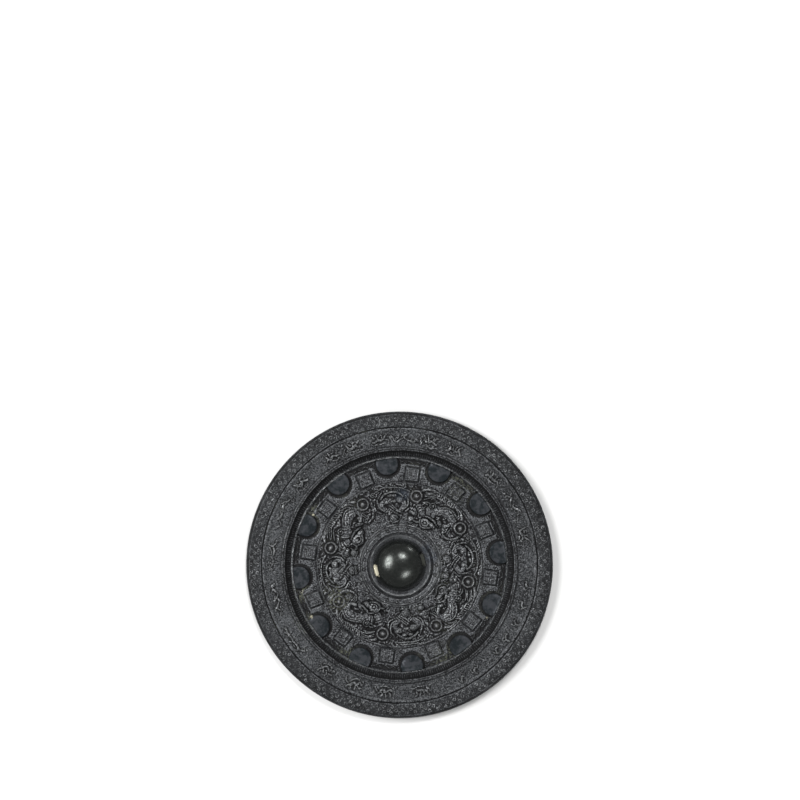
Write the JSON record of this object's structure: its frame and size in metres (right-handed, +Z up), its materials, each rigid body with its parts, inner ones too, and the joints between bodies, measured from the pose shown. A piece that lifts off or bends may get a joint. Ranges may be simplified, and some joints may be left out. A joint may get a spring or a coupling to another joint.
{
  "type": "bronze mirror",
  "caption": "Round cast bronze mirror lying face down, its back worked in relief round a domed knob with a cord hole.",
  "frame": {"origin": "middle of the small flat that the mirror rests on, at the lowest point of the polished face", "axes": "+Z up through the knob, +X along the knob's cord hole, +Y across it"},
  "size_m": [0.14, 0.14, 0.0122],
  "materials": {
    "bronze": "dark grey patina, semi-gloss, polished darker on the knob"
  },
  "bodies": {
    "root": {"bronze_mirror": "bronze"}
  },
  "joints": []
}
